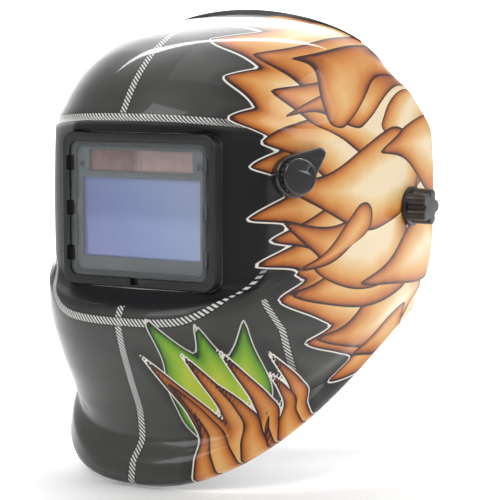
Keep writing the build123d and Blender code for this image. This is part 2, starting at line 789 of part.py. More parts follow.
with BuildPart() as knob:
    with BuildSketch(beside(knob_x)):
        Circle(knob_r + 1)
    extrude(amount=2.5)
    with BuildSketch(beside(knob_x)):
        Circle(knob_r - 4)
        with PolarLocations(knob_r - 4.6, 5):
            Circle(4.6)
    extrude(amount=knob_h)
    fillet(knob.faces().sort_by(Axis.X)[-1].edges(), 1.4)
    with BuildSketch(beside(knob_x)):
        Circle(insert_r + 0.02)
    extrude(amount=knob_h - 2, mode=Mode.SUBTRACT)
keep_pair("tension_knob", knob.part)

with BuildPart() as insert:
    with BuildSketch(beside(knob_x + 0.5)):
        Circle(insert_r)
        Circle(bolt_r + fit, mode=Mode.SUBTRACT)
    extrude(amount=insert_len)
keep_pair("knob_insert", insert.part)

# ---------------------------------------------------------------- headgear
band_end = 55.0           # where the moulded band stops and the rear straps take over


def across_band(height):
    """The band's own plane at a height from its middle; X is X, Y runs back and down."""
    return band_plane.offset(height)


def rivet_plane(angle, side):
    """Plane square to the band at an angle round its ellipse, on one side."""
    x, y = side * band_a * cos(radians(angle)), band_b * sin(radians(angle))
    out = Vector(x / band_a**2, y / band_b**2, 0).normalized()
    origin = band_plane.from_local_coords(Vector(x, y, 0))
    along = band_plane.from_local_coords(Vector(x, y, 0) + out)
    return Plane(origin=origin, x_dir=band_plane.z_dir, z_dir=along - origin)


strap_rivet_angle = 22.0
with BuildPart() as headband:
    with BuildSketch(across_band(-band_h / 2)):
        Ellipse(band_a, band_b)
        Ellipse(band_a - band_t, band_b - band_t, mode=Mode.SUBTRACT)
        with Locations((0, band_b)):
            Rectangle(3 * band_a, 2 * (band_b - band_end), mode=Mode.SUBTRACT)
    extrude(amount=band_h)
    for side in (-1, 1):
        with Locations(rivet_plane(strap_rivet_angle, side)):
            with Locations((5, 0), (-5, 0)):
                Cylinder(rivet_r + fit, 12, mode=Mode.SUBTRACT)
    with BuildSketch(beside(-2 * band_a)):
        with Locations((rivet_y, rivet_z), (-rivet_y, rivet_z)):
            Circle(rivet_r + fit)
    extrude(amount=4 * band_a, mode=Mode.SUBTRACT)
keep("headband", headband.part)

flat_half = 24.0          # straight stretch of each rear strap inside the ratchet
strap_out = 0.5 + strap_t / 2
rack_y = band_b + 1.2
tooth_pitch = 3.2
pinion_tip = 5.4
slot_half = 20.0


def rear_plane(distance):
    """Plane facing backwards from the band's middle; its X is X and its Y points down."""
    origin = band_plane.from_local_coords(Vector(0, distance, 0))
    return Plane(origin=origin, x_dir=(1, 0, 0), z_dir=band_plane.y_dir)


for name, side, layer in (("left", 1, 0), ("right", -1, strap_t + 0.4)):
    with BuildPart() as rear_strap:
        with BuildSketch(across_band(-strap_h / 2)):
            with BuildLine():
                bend = [
                    (
                        side * (band_a + strap_out) * cos(radians(angle)),
                        (band_b + strap_out) * sin(radians(angle)),
                    )
                    for angle in (12, 23, 34, 45, 55)
                ]
                curve = Spline(
                    *bend,
                    (side * flat_half, rack_y + layer),
                    tangents=[(-side * 0.25, 1), (-side, 0)],
                )
                Line(curve @ 1, (-side * (flat_half - 2), rack_y + layer))
            trace(line_width=strap_t)
        extrude(amount=strap_h)
        with BuildSketch(rear_plane(rack_y + layer - 3)):
            Rectangle(2 * slot_half, 2 * pinion_tip + 1.4)
        extrude(amount=6, mode=Mode.SUBTRACT)
        with BuildSketch(rear_plane(rack_y + layer - strap_t / 2)):
            with Locations((0, -side * (pinion_tip + 0.55))):
                with GridLocations(tooth_pitch, 0, 12, 1):
                    Rectangle(tooth_pitch / 2, 0.7)
        extrude(amount=strap_t)
        with Locations(rivet_plane(strap_rivet_angle, side)):
            with Locations((5, 0), (-5, 0)):
                Cylinder(rivet_r + fit, 12, mode=Mode.SUBTRACT)
    keep(f"rear_strap_{name}", rear_strap.part)

housing_w, housing_h = 2 * flat_half + 2, 34.0
housing_front = rack_y - strap_t / 2 - 0.4 - 1.6
housing_back = rack_y + 2 * strap_t + 2.6
with BuildPart() as ratchet_housing:
    with BuildSketch(rear_plane(housing_front)):
        RectangleRounded(housing_w, housing_h, 9)
    extrude(amount=housing_back - housing_front)
    with BuildSketch(rear_plane(housing_front + 1.6)):
        Rectangle(housing_w + 2, strap_h + 0.8)
    extrude(amount=20, mode=Mode.SUBTRACT)
keep("ratchet_housing", ratchet_housing.part)

pinion_shaft_r = 4.0
cover_t = 2.2
cover_front = housing_back + 0.1
with BuildPart() as ratchet_cover:
    with BuildSketch(rear_plane(cover_front)):
        RectangleRounded(housing_w, housing_h, 9)
        Circle(pinion_shaft_r + fit, mode=Mode.SUBTRACT)
    extrude(amount=cover_t)
keep("ratchet_cover", ratchet_cover.part)

with BuildPart() as click_spring:
    with BuildSketch(rear_plane(housing_back - 1.4)):
        Circle(7.6)
        with PolarLocations(7.0, 3):
            Rectangle(4, 2.2)
        Circle(6.2, mode=Mode.SUBTRACT)
    extrude(amount=1.2)
keep("click_spring", click_spring.part)

dial_front = cover_front + cover_t + gap
dial_t = 11.0
with BuildPart() as ratchet_pinion:
    with BuildSketch(rear_plane(rack_y - strap_t / 2)):
        Circle(pinion_tip - 2)
        with PolarLocations(pinion_tip - 1.5, 9):
            Rectangle(2.8, 1.5)
    extrude(amount=2 * strap_t + 0.6)
    with BuildSketch(rear_plane(rack_y - strap_t / 2)):
        Circle(pinion_shaft_r - 0.6)
    extrude(amount=housing_back - rack_y + strap_t / 2)
    with BuildSketch(rear_plane(housing_back)):
        Circle(pinion_shaft_r)
    extrude(amount=dial_front + 6 - housing_back)
keep("ratchet_pinion", ratchet_pinion.part)

with BuildPart() as ratchet_dial:
    with BuildSketch(rear_plane(dial_front)):
        Circle(dial_r)
        with PolarLocations(dial_r + 0.6, 18):
            Circle(1.7, mode=Mode.SUBTRACT)
    extrude(amount=dial_t)
    fillet(ratchet_dial.faces().sort_by(Axis((0, 0, 0), band_plane.y_dir))[-1].edges(), 0.8)
    with BuildSketch(rear_plane(dial_front)):
        Circle(pinion_shaft_r + 0.02)
    extrude(amount=6.2, mode=Mode.SUBTRACT)
keep("ratchet_dial", ratchet_dial.part)

# Crown strap in two halves that lap on top, riveted inside the band.
crown_in = band_a - band_t - 1.8
lap_angle = 18.0
crown_mid = band_z + 15.0
stud_x = 9.0
for name, side, layer in (("left", 1, 0), ("right", -1, strap_t + 0.4)):
    with BuildPart() as crown_half:
        with BuildSketch(Plane.XZ.offset(-crown_w / 2)):
            with BuildLine():
                Line((side * crown_in, band_z - 10), (side * crown_in, crown_mid))
                EllipticalCenterArc(
                    (0, crown_mid),
                    crown_in,
                    crown_top + layer - crown_mid,
                    start_angle=0 if side > 0 else 90 - lap_angle,
                    arc_size=90 + lap_angle,
                )
            trace(line_width=strap_t)
        extrude(amount=crown_w)
        with Locations((stud_x, 0, crown_top), (-stud_x, 0, crown_top)):
            Cylinder(rivet_r + fit, 12, mode=Mode.SUBTRACT)
        with BuildSketch(beside(-2 * band_a)):
            with Locations((rivet_y, rivet_z), (-rivet_y, rivet_z)):
                Circle(rivet_r + fit)
        extrude(amount=4 * band_a, mode=Mode.SUBTRACT)
    keep(f"crown_strap_{name}", crown_half.part)

with BuildPart() as crown_studs:
    for x in (-stud_x, stud_x):
        with Locations((x, 0, crown_top + 1)):
            Cylinder(rivet_r, 7.0)
        with Locations((x, 0, crown_top - 3.0), (x, 0, crown_top + 4.4)):
            Cylinder(4, 1.4)
keep("crown_studs", crown_studs.part)

with BuildPart() as arm_rivets:
    for side in (-1, 1):
        inside = side * (crown_in - strap_t / 2 - 0.3)
        outside = side * (foot_x + arm_t / 2 + 0.2)
        for y in (-rivet_y, rivet_y):
            with BuildSketch(beside(inside)):
                with Locations((y, rivet_z)):
                    Circle(rivet_r)
            extrude(amount=outside - inside)
            with BuildSketch(beside(inside)):
                with Locations((y, rivet_z)):
                    Circle(3.4)
            extrude(amount=-side * 1.2)
            with BuildSketch(beside(outside)):
                with Locations((y, rivet_z)):
                    Circle(3.4)
            extrude(amount=side * 1.4)
keep("arm_rivets", arm_rivets.part)

with BuildPart() as strap_rivets:
    for side in (-1, 1):
        square = rivet_plane(strap_rivet_angle, side)
        for along in (-5, 5):
            with BuildSketch(square.offset(-band_t - 0.4)):
                with Locations((along, 0)):
                    Circle(rivet_r)
            extrude(amount=band_t + strap_t + 1.6)
            with BuildSketch(square.offset(-band_t - 0.4)):
                with Locations((along, 0)):
                    Circle(3.4)
            extrude(amount=-1.2)
            with BuildSketch(square.offset(strap_t + 1.2)):
                with Locations((along, 0)):
                    Circle(3.4)
            extrude(amount=1.2)
keep("strap_rivets", strap_rivets.part)

# Pads
pad_gap = 0.4
with BuildPart() as brow_pad:
    with BuildSketch(across_band(-band_h / 2 - 3)):
        Ellipse(band_a - band_t - pad_gap, band_b - band_t - pad_gap)
        Ellipse(
            band_a - band_t - pad_gap - pad_t,
            band_b - band_t - pad_gap - pad_t,
            mode=Mode.SUBTRACT,
        )
        with Locations((0, 0.62 * band_b)):
            Rectangle(3 * band_a, 2.0 * band_b, mode=Mode.SUBTRACT)
    extrude(amount=band_h + 6)
    fillet(brow_pad.edges().filter_by(GeomType.ELLIPSE), 2.4)
keep("brow_pad", brow_pad.part)

with BuildPart() as nape_pad:
    with BuildSketch(rear_plane(housing_front - pad_gap - pad_t)):
        RectangleRounded(housing_w + 16, housing_h + 8, 12)
    extrude(amount=pad_t)
    fillet(nape_pad.faces().sort_by(Axis((0, 0, 0), band_plane.y_dir))[0].edges(), 2.4)
keep("nape_pad", nape_pad.part)

# ---------------------------------------------------------------- files
os.makedirs("parts", exist_ok=True)
for name, part in pieces.items():
    export_step(part, f"parts/{name}.step")
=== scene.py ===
import json
import logging
import math
from dataclasses import dataclass, field
from enum import Enum
from typing import Iterable, Optional, Union

import bmesh
import bpy
import numpy as np
from mathutils import Matrix, Vector


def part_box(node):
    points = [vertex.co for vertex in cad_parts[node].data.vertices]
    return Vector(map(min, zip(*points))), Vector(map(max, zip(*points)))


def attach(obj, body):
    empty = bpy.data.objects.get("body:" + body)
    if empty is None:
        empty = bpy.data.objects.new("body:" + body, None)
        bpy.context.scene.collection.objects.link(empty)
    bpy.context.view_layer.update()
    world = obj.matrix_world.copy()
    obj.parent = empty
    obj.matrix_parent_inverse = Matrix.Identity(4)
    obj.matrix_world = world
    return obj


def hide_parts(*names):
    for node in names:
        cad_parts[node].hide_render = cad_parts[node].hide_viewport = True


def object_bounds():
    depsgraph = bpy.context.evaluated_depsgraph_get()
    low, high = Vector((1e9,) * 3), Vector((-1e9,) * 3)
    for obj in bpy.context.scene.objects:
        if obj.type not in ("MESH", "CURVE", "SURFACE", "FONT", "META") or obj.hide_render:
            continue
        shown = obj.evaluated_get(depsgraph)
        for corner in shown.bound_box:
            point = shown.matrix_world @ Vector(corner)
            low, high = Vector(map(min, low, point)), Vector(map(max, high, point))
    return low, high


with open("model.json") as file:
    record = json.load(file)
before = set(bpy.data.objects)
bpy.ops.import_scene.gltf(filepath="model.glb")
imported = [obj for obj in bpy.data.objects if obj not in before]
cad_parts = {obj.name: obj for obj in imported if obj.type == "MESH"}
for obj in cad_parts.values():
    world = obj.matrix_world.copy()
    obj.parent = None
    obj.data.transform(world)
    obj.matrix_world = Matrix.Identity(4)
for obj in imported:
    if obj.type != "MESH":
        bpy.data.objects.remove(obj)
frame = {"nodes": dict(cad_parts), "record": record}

CAD_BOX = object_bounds()
MM = 0.001
WELD = 2e-6  # points of a CAD mesh that are nearer than this are one point
Colour = tuple[float, float, float]
Stops = tuple[tuple[float, Colour], ...]
Shade = Union[Colour, bpy.types.NodeSocket]
log = logging.getLogger("welding_helmet")


# ---------------------------------------------------------------- shader maths
class Value:
    """One number that flows through a material, with arithmetic that adds Math nodes."""

    def __init__(self, graph: "Graph", socket: bpy.types.NodeSocket) -> None:
        """Wraps an output socket of the graph."""
        self.graph = graph
        self.socket = socket

    def __add__(self, other: "Number") -> "Value":
        """Sum."""
        return self.graph.math("ADD", self, other)

    def __sub__(self, other: "Number") -> "Value":
        """Difference."""
        return self.graph.math("SUBTRACT", self, other)

    def __rsub__(self, other: "Number") -> "Value":
        """Difference from a plain number."""
        return self.graph.math("SUBTRACT", other, self)

    def __mul__(self, other: "Number") -> "Value":
        """Product."""
        return self.graph.math("MULTIPLY", self, other)

    def __truediv__(self, other: "Number") -> "Value":
        """Quotient."""
        return self.graph.math("DIVIDE", self, other)

    def __abs__(self) -> "Value":
        """Size without sign."""
        return self.graph.math("ABSOLUTE", self)

    __radd__ = __add__
    __rmul__ = __mul__

    def fraction(self) -> "Value":
        """What is left above the whole number below."""
        return self.graph.math("FRACT", self)

    def clamped(self) -> "Value":
        """The value held between 0 and 1."""
        return self.graph.math("MULTIPLY", self, 1.0, clamp=True)

    def under(self, limit: "Number", soft: float) -> "Value":
        """Mask that is 1 below a limit and 0 above it.

        Args:
            limit: where the mask turns.
            soft: width of the turn.

        Returns:
            The mask, from 0 to 1.
        """
        return ((limit - self) / soft + 0.5).clamped()


Number = Union[Value, float]


class Graph:
    """A material's node tree, built from expressions."""

    def __init__(self, name: str) -> None:
        """Starts an empty material of this name."""
        self.material = bpy.data.materials.new(name)
        self.material.use_nodes = True
        self.tree = self.material.node_tree
        self.tree.nodes.clear()

    def node(self, kind: str, settings: Optional[dict] = None,
             inputs: Optional[dict] = None) -> bpy.types.Node:
        """Adds one node.

        Args:
            kind: the node's type name.
            settings: properties that are set first; "stops" fills a colour ramp.
            inputs: socket name or index to a number, colour, Value or output socket.

        Returns:
            The new node.
        """
        made = self.tree.nodes.new(kind)
        for key, value in (settings or {}).items():
            if key == "stops":
                self._fill_ramp(made.color_ramp, value)
            else:
                setattr(made, key, value)
        for key, value in (inputs or {}).items():
            self._feed(made.inputs[key], value)
        return made

    def _feed(self, socket: bpy.types.NodeSocket, value: object) -> None:
        """Links or sets one input socket.

        Args:
            socket: the input.
            value: a Value or output socket to link, or a constant to set.
        """
        if isinstance(value, Value):
            value = value.socket
        if isinstance(value, bpy.types.NodeSocket):
            self.tree.links.new(value, socket)
        else:
            socket.default_value = value

    @staticmethod
    def _fill_ramp(ramp: bpy.types.ColorRamp, stops: Stops) -> None:
        """Writes the stops of a colour ramp."""
        while len(ramp.elements) < len(stops):
            ramp.elements.new(0.5)
        for element, (at, colour) in zip(ramp.elements, stops):
            element.position = at
            element.color = (*colour, 1.0)

    def math(self, operation: str, a: Number, b: Number = 0.0, clamp: bool = False) -> Value:
        """Adds one Math node."""
        made = self.node("ShaderNodeMath", {"operation": operation, "use_clamp": clamp},
                         {0: a, 1: b})
        return Value(self, made.outputs[0])

    def place(self) -> bpy.types.NodeSocket:
        """Object coordinates."""
        return self.node("ShaderNodeTexCoord").outputs["Object"]

    def parts(self, vector: bpy.types.NodeSocket) -> tuple[Value, Value, Value]:
        """The three numbers of a vector."""
        made = self.node("ShaderNodeSeparateXYZ", None, {0: vector})
        return tuple(Value(self, out) for out in made.outputs)

    def attribute(self, name: str) -> Value:
        """A number stored on the mesh's points."""
        return Value(self, self.node("ShaderNodeAttribute", {"attribute_name": name}).outputs["Fac"])

    def noise(self, scale: float, detail: float = 3.0,
              at: Optional[bpy.types.NodeSocket] = None) -> Value:
        """Cloudy noise about 0.5.

        Args:
            scale: how fine it is.
            detail: octaves.
            at: coordinates, or Object coordinates if left out.

        Returns:
            The noise.
        """
        made = self.node("ShaderNodeTexNoise", None, {
            "Vector": at or self.place(), "Scale": scale, "Detail": detail, "Roughness": 0.55})
        return Value(self, made.outputs["Fac"])

    def ramp(self, value: Value, stops: Stops) -> bpy.types.NodeSocket:
        """Colour picked along a ramp."""
        return self.node("ShaderNodeValToRGB", {"stops": stops}, {"Fac": value}).outputs["Color"]

    def mix(self, factor: Number, a: Shade, b: Shade) -> bpy.types.NodeSocket:
        """Colour between two colours."""
        inputs = {"Factor_Float": factor, "A_Color": self._colour(a), "B_Color": self._colour(b)}
        made = self.node("ShaderNodeMix", {"data_type": "RGBA"})
        for socket in made.inputs:
            if socket.identifier in inputs:
                self._feed(socket, inputs[socket.identifier])
        return next(out for out in made.outputs if out.identifier == "Result_Color")

    @staticmethod
    def _colour(value: object) -> object:
        """A colour with its alpha, or anything else unchanged."""
        return (*value, 1.0) if isinstance(value, tuple) else value

    def bump(self, height: Value, distance: float, strength: float) -> bpy.types.NodeSocket:
        """Normal tilted by a height pattern."""
        inputs = {"Height": height, "Distance": distance, "Strength": strength}
        return self.node("ShaderNodeBump", None, inputs).outputs["Normal"]

    def finish(self, **sockets: object) -> bpy.types.Material:
        """Ends the material with a Principled shader.

        Args:
            sockets: Principled socket names, with _ for spaces, to values or links.

        Returns:
            The material.
        """
        inputs = {key.replace("_", " "): self._colour(value) for key, value in sockets.items()}
        shader = self.node("ShaderNodeBsdfPrincipled", None, inputs)
        self.node("ShaderNodeOutputMaterial", None, {"Surface": shader.outputs[0]})
        return self.material


# ---------------------------------------------------------------- finishes
@dataclass(frozen=True)
class Moulded:
    """Moulded plastic: a grain in the surface, slight clouding and a satin or gloss sheen."""

    name: str
    colour: Colour
    roughness: float = 0.45
    grain: float = 0.00006
    grain_scale: float = 1400.0
    coat: float = 0.0
    cloud: float = 0.25

    def build(self) -> bpy.types.Material:
        """Makes the material."""
        g = Graph(self.name)
        clouds = g.noise(38.0, 4.0)
        fine = g.noise(self.grain_scale, 2.0)
        dark = tuple(c * (1 - self.cloud) for c in self.colour)
        light = tuple(min(c * (1 + self.cloud) + 0.004, 1) for c in self.colour)
        rough = clouds * 0.16 + (self.roughness - 0.08)
        return g.finish(
            Base_Color=g.mix(clouds, dark, light),
            Roughness=rough,
            Normal=g.bump(fine, self.grain, 0.6),
            Coat_Weight=self.coat,
            Coat_Roughness=0.06,
        )


@dataclass(frozen=True)
class Metal:
    """Plated or turned metal with fine turning marks and dull patches."""

    name: str
    colour: Colour
    roughness: float = 0.3
    marks: float = 2600.0

    def build(self) -> bpy.types.Material:
        """Makes the material."""
        g = Graph(self.name)
        lines = g.noise(self.marks, 1.0, at=g.node(
            "ShaderNodeMapping", None, {"Vector": g.place(), "Scale": (0.15, 1.0, 1.0)}).outputs[0])
        patches = g.noise(160.0, 3.0)
        return g.finish(
            Base_Color=g.mix(patches, tuple(c * 0.8 for c in self.colour), self.colour),
            Metallic=1.0,
            Roughness=patches * 0.2 + lines * 0.1 + (self.roughness - 0.12),
            Normal=g.bump(lines, 0.00002, 0.5),
        )


@dataclass(frozen=True)
class Weave:
    """Woven pad cover: warp and weft on Object coordinates, with fuzz and faded patches."""

    name: str
    colour: Colour
    pitch: float = 0.0011

    def build(self) -> bpy.types.Material:
        """Makes the material."""
        g = Graph(self.name)
        x, y, z = g.parts(g.place())
        turns = 2 * math.pi / self.pitch
        warp = g.math("SINE", (x + y * 0.6) * turns)
        weft = g.math("SINE", (z + y * 0.35) * turns)
        cloth = warp * weft * 0.5 + 0.5
        fade = g.noise(55.0, 4.0)
        fuzz = g.noise(2400.0, 2.0)
        dark = tuple(c * 0.55 for c in self.colour)
        light = tuple(min(c * 1.7 + 0.01, 1) for c in self.colour)
        return g.finish(
            Base_Color=g.mix((cloth * 0.6 + fade * 0.4).clamped(), dark, light),
            Roughness=fade * 0.1 + 0.82,
            Normal=g.bump(cloth + fuzz * 0.4, 0.0002, 0.7),
            Sheen_Weight=0.35,
        )


@dataclass(frozen=True)
class ClearSheet:
    """Clear polycarbonate that greys what lies behind it a little."""

    name: str
    colour: Colour = (0.32, 0.35, 0.36)
    alpha: float = 0.16

    def build(self) -> bpy.types.Material:
        """Makes the material."""
        g = Graph(self.name)
        smears = g.noise(24.0, 3.0)
        return g.finish(
            Base_Color=g.mix(smears, tuple(c * 0.9 for c in self.colour), self.colour),
            Roughness=smears * 0.05 + 0.03,
            Alpha=self.alpha,
            Coat_Weight=0.5,
            Coat_Roughness=0.02,
        )


@dataclass(frozen=True)
class FilterCoating:
    """Blue-violet interference coating that brightens towards the wearer's left."""

    name: str
    half_width: float
    low: float
    high: float
    tints: Stops = (
        (0.0, (0.24, 0.25, 0.66)), (0.35, (0.27, 0.36, 0.78)),
        (0.68, (0.38, 0.50, 0.88)), (1.0, (0.52, 0.60, 0.92)),
    )

    def build(self) -> bpy.types.Material:
        """Makes the material."""
        g = Graph(self.name)
        x, _, z = g.parts(g.place())
        sweep = (x / (2 * self.half_width) + 0.5) * 0.8 + (z - self.low) / (self.high - self.low) * 0.2
        drift = g.noise(14.0, 2.0) - 0.5
        tint = g.ramp((sweep + drift * 0.25).clamped(), self.tints)
        return g.finish(
            Base_Color=tint,
            Metallic=0.25,
            Roughness=drift * 0.04 + 0.12,
            Coat_Weight=1.0,
            Coat_Roughness=0.02,
        )


@dataclass(frozen=True)
class SolarFilm:
    """Reddish brown solar film, paler on one half, with fine collector lines."""

    name: str
    dark: Colour = (0.27, 0.125, 0.105)
    pale: Colour = (0.50, 0.33, 0.30)
    line: Colour = (0.16, 0.09, 0.08)
    turn: float = -0.004
    turn_width: float = 0.006
    line_pitch: float = 0.0029

    def build(self) -> bpy.types.Material:
        """Makes the material."""
        g = Graph(self.name)
        x, _, _ = g.parts(g.place())
        side = ((x - self.turn) / self.turn_width + 0.5).clamped()
        lines = abs((x / self.line_pitch).fraction() - 0.5).under(0.04, 0.03)
        body = g.mix(side, self.dark, self.pale)
        body = g.mix(lines * 0.35, body, self.line)
        return g.finish(
            Base_Color=body,
            Roughness=g.noise(90.0) * 0.1 + 0.22,
            Coat_Weight=0.8,
            Coat_Roughness=0.05,
        )


@dataclass(frozen=True)
class Board:
    """Green circuit board with paler tracks."""

    name: str
    base: Colour = (0.012, 0.09, 0.04)
    copper: Colour = (0.03, 0.2, 0.08)
    pitch: tuple[float, float] = (0.004, 0.005)

    def build(self) -> bpy.types.Material:
        """Makes the material."""
        g = Graph(self.name)
        x, _, z = g.parts(g.place())
        track = abs((x / self.pitch[0]).fraction() - 0.5).under(0.12, 0.05)
        cross = abs((z / self.pitch[1]).fraction() - 0.5).under(0.1, 0.05)
        return g.finish(
            Base_Color=g.mix((track + cross).clamped() * 0.6, self.base, self.copper),
            Roughness=g.noise(200.0) * 0.2 + 0.3,
        )


# ---------------------------------------------------------------- shell form
@dataclass(frozen=True)
class ShellForm:
    """The moulded shell's outer skin, as sections that are joined smoothly."""

    half_width: float = 0.125
    drop: float = 0.193
    rise: float = 0.138
    reach: float = 0.171
    wall: float = 0.0022
    window_z: float = 0.003
    recess_half: float = 0.057

    def _low(self, share: float) -> float:
        """Height of a section below the window recess."""
        return self.window_z - self.recess_half - share * (self.drop - self.recess_half)

    def _high(self, share: float) -> float:
        """Height of a section above the window recess."""
        return self.window_z + self.recess_half + share * (self.rise - self.recess_half)

    def sections(self) -> np.ndarray:
        """Centre height and reach, side height and reach, half width, squareness, late rise."""
        low, high, r, w, z = self._low, self._high, self.reach, self.half_width, self.window_z
        edge = self.recess_half - 0.007
        return np.array([
            (low(1.00), -r - 0.005, -0.083, 0.018, w - 0.010, 2.45, 1.15),
            (low(0.97), -r - 0.011, -0.080, 0.021, w - 0.008, 2.46, 1.15),
            (low(0.88), -r - 0.009, -0.073, 0.025, w - 0.008, 2.45, 1.15),
            (low(0.76), -r + 0.003, -0.062, 0.030, w - 0.006, 2.44, 1.15),
            (low(0.64), -r + 0.001, -0.053, 0.034, w - 0.003, 2.62, 1.15),
            (low(0.44), -r - 0.011, -0.036, 0.037, w - 0.001, 2.72, 1.15),
            (low(0.25), -r - 0.022, -0.019, 0.038, w, 2.75, 1.20),
            (low(0.14), -r - 0.026, -0.007, 0.038, w, 2.75, 1.35),
            (low(0.07), -r - 0.023, 0.000, 0.038, w, 2.80, 1.40),
            (low(0.015), -r - 0.009, 0.005, 0.038, w, 3.10, 1.35),
            (z - edge, -r - 0.001, 0.013, 0.038, w, 3.30, 1.25),
            (z, -r, 0.025, 0.038, w, 3.40, 1.10),
            (z + edge, -r - 0.001, 0.043, 0.038, w - 0.001, 3.30, 1.00),
            (high(0.01), -r - 0.009, 0.050, 0.037, w - 0.001, 2.95, 1.00),
            (high(0.10), -r - 0.019, 0.056, 0.036, w - 0.002, 2.55, 1.00),
            (high(0.28), -r - 0.011, 0.063, 0.033, w - 0.004, 2.45, 1.00),
            (high(0.53), -r + 0.007, 0.072, 0.029, w - 0.008, 2.42, 1.00),
            (high(0.78), -r + 0.038, 0.083, 0.022, w - 0.012, 2.34, 1.00),
            (high(0.93), -r + 0.083, 0.091, 0.013, w - 0.016, 2.27, 1.00),
            (high(1.00), -r + 0.137, 0.097, 0.004, w - 0.021, 2.20, 1.00),
        ])

    @property
    def top_row(self) -> int:
        """Number of the last section."""
        return len(self.sections()) - 1

    def points(self, u: np.ndarray, a: np.ndarray) -> np.ndarray:
        """Points on the outer skin.

        Args:
            u: section numbers, which may fall between two sections.
            a: plan angles in radians, 0 in front and positive to the wearer's left.

        Returns:
            An array of the shape of u and a with three coordinates more.
        """
        table = self.sections()
        steps = np.diff(table, axis=0)
        product, total = steps[:-1] * steps[1:], steps[:-1] + steps[1:]
        inner = np.where(product > 0, 2 * product / np.where(total == 0, 1, total), 0.0)
        slope = np.vstack([steps[:1], inner, steps[-1:]])
        i = np.clip(u.astype(int), 0, len(table) - 2)
        t = (u - i)[..., None]
        zc, yc, zs, ys, w, n, k = np.moveaxis(
            (2 * t**3 - 3 * t**2 + 1) * table[i] + (t**3 - 2 * t**2 + t) * slope[i]
            + (3 * t**2 - 2 * t**3) * table[i + 1] + (t**3 - t**2) * slope[i + 1], -1, 0)
        reach = ys - yc
        s, c = np.abs(np.sin(a)), np.maximum(np.abs(np.cos(a)), 1e-12)
        rho = ((s / w) ** n + (c / reach) ** n) ** (-1 / n)
        q = rho * c / reach
        return np.stack([rho * np.sin(a), ys - reach * q, zs + (zc - zs) * q**k], axis=-1)


# ---------------------------------------------------------------- painted design
@dataclass(frozen=True)
class Lick:
    """One tongue of flame on the unrolled shell, in millimetres across and up."""

    root: tuple[float, float]
    bend: tuple[float, float]
    tip: tuple[float, float]
    width: float

    def distance(self, across: np.ndarray, up: np.ndarray, steps: int = 110) -> np.ndarray:
        """Distance to the tongue's edge, negative inside.

        Args:
            across: places across the shell.
            up: places up the shell.
            steps: circles that make up the tongue.

        Returns:
            One distance for each place.
        """
        nearest = np.full(across.shape, 1e3)
        for i in range(steps + 1):
            t = i / steps
            x, y = (
                (1 - t) ** 2 * r + 2 * t * (1 - t) * b + t**2 * p
                for r, b, p in zip(self.root, self.bend, self.tip)
            )
            swell = 1 + 0.16 * math.sin(6.0 * t)
            radius = self.width * (1 - t) ** 0.85 * swell
            nearest = np.minimum(nearest, np.hypot(across - x, up - y) - radius)
        return nearest


class Layer(Enum):
    """Layers of the design, from the back to the front."""

    GLOW = "glow"
    BASE = "base"
    FIRST = "first"
    SECOND = "second"
    THIRD = "third"
    FOURTH = "fourth"
    FIFTH = "fifth"


LICKS: dict[Layer, list[Lick]] = {
    Layer.GLOW: [
        Lick((58, -150), (52, -122), (22, -84), 27), Lick((80, -140), (88, -108), (92, -78), 18),
        Lick((66, -140), (68, -112), (58, -84), 19),
    ],
    Layer.BASE: [
        Lick((290, 10), (250, 60), (170, 110), 112), Lick((280, -60), (240, -60), (190, -70), 84),
        Lick((250, 20), (190, 30), (140, 30), 80), Lick((190, 150), (90, 150), (8, 204), 66),
        Lick((190, 120), (90, 118), (34, 148), 52), Lick((170, 70), (110, 84), (62, 100), 42),
        Lick((180, 20), (120, 62), (76, 66), 38), Lick((180, 10), (120, 34), (84, 30), 30),
        Lick((190, -10), (130, 4), (82, -6), 30), Lick((200, -40), (140, -30), (88, -38), 28),
        Lick((230, -70), (160, -66), (120, -64), 40), Lick((230, -90), (180, -108), (134, -98), 34),
        Lick((250, -90), (210, -128), (158, -134), 30),
        Lick((-330, 20), (-260, 40), (-150, 96), 62), Lick((-330, -70), (-270, -70), (-190, -110), 50),
        Lick((92, -240), (70, -180), (14, -112), 26), Lick((104, -240), (92, -180), (44, -106), 28),
        Lick((130, -240), (112, -170), (70, -100), 26), Lick((150, -220), (140, -160), (104, -100), 24),
    ],
    Layer.FIRST: [
        Lick((190, 168), (96, 168), (36, 186), 40), Lick((215, 95), (140, 92), (70, 118), 44),
        Lick((230, 8), (140, 50), (92, 46), 40), Lick((210, -28), (150, -18), (98, -22), 32),
        Lick((250, -88), (190, -112), (142, -96), 28), Lick((-290, 20), (-220, 10), (-140, 52), 34),
        Lick((84, -232), (66, -180), (26, -128), 20), Lick((140, -205), (128, -160), (100, -116), 20),
    ],
    Layer.SECOND: [
        Lick((240, 45), (160, 66), (98, 84), 38), Lick((290, 90), (250, 150), (170, 160), 34),
        Lick((240, -56), (170, -70), (128, -60), 26), Lick((-290, -30), (-230, -50), (-150, -24), 30),
        Lick((110, -222), (100, -170), (58, -124), 20), Lick((180, 112), (128, 136), (84, 142), 17),
    ],
    Layer.THIRD: [
        Lick((235, -35), (170, -52), (106, -8), 34), Lick((255, 20), (240, 80), (176, 108), 30),
        Lick((-300, -70), (-250, -100), (-190, -80), 24), Lick((160, 128), (118, 150), (72, 166), 12),
        Lick((250, -112), (214, -118), (176, -120), 16),
    ],
    Layer.FOURTH: [
        Lick((232, 6), (160, -6), (104, 18), 34), Lick((300, -50), (262, -70), (196, -66), 26),
        Lick((62, -238), (60, -196), (40, -150), 14), Lick((190, 60), (150, 78), (116, 62), 15),
    ],
    Layer.FIFTH: [
        Lick((300, 10), (262, 30), (206, 24), 28), Lick((170, 62), (136, 100), (96, 108), 14),
        Lick((186, -22), (160, -44), (124, -44), 14), Lick((226, 120), (196, 150), (150, 150), 16),
        Lick((124, -232), (122, -190), (92, -144), 12),
    ],
}
